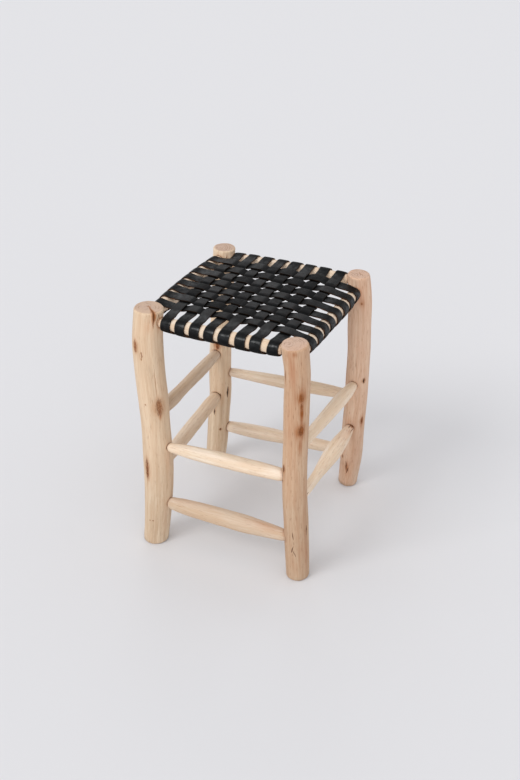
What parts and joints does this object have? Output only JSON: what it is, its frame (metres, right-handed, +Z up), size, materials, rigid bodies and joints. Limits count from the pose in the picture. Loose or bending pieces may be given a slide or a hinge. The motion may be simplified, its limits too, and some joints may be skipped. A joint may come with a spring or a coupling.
{
  "type": "stool",
  "caption": "Low stool of peeled branch legs and whittled stretchers, with an open woven seat of black leather straps.",
  "frame": {"origin": "on the floor, under the centre of the stool's bounding box", "axes": "+X to the right along the front, +Y to the back, +Z up"},
  "size_m": [0.318, 0.3342, 0.45],
  "materials": {
    "pale_branch": "peeled, sanded and bare",
    "pink_branch": "peeled, sanded and bare",
    "whittled_wood": "whittled and bare",
    "black_leather": "satin black, raw edges"
  },
  "bodies": {
    "root": {"leg_front_left": "pale_branch", "leg_front_right": "pink_branch", "leg_back_right": "pink_branch", "leg_back_left": "pale_branch", "seat_rail_front": "whittled_wood", "seat_rail_back": "whittled_wood", "seat_rail_left": "whittled_wood", "seat_rail_right": "whittled_wood", "stretcher_front_upper": "whittled_wood", "stretcher_front_lower": "whittled_wood", "stretcher_back_upper": "whittled_wood", "stretcher_back_lower": "whittled_wood", "stretcher_left_upper": "whittled_wood", "stretcher_left_lower": "whittled_wood", "stretcher_right_upper": "whittled_wood", "stretcher_right_lower": "whittled_wood", "warp_strap_1": "black_leather", "warp_strap_2": "black_leather", "warp_strap_3": "black_leather", "warp_strap_4": "black_leather", "warp_strap_5": "black_leather", "warp_strap_6": "black_leather", "warp_strap_7": "black_leather", "warp_strap_8": "black_leather", "weft_strap_1": "black_leather", "weft_strap_2": "black_leather", "weft_strap_3": "black_leather", "weft_strap_4": "black_leather", "weft_strap_5": "black_leather", "weft_strap_6": "black_leather", "weft_strap_7": "black_leather", "weft_strap_8": "black_leather"}
  },
  "joints": []
}
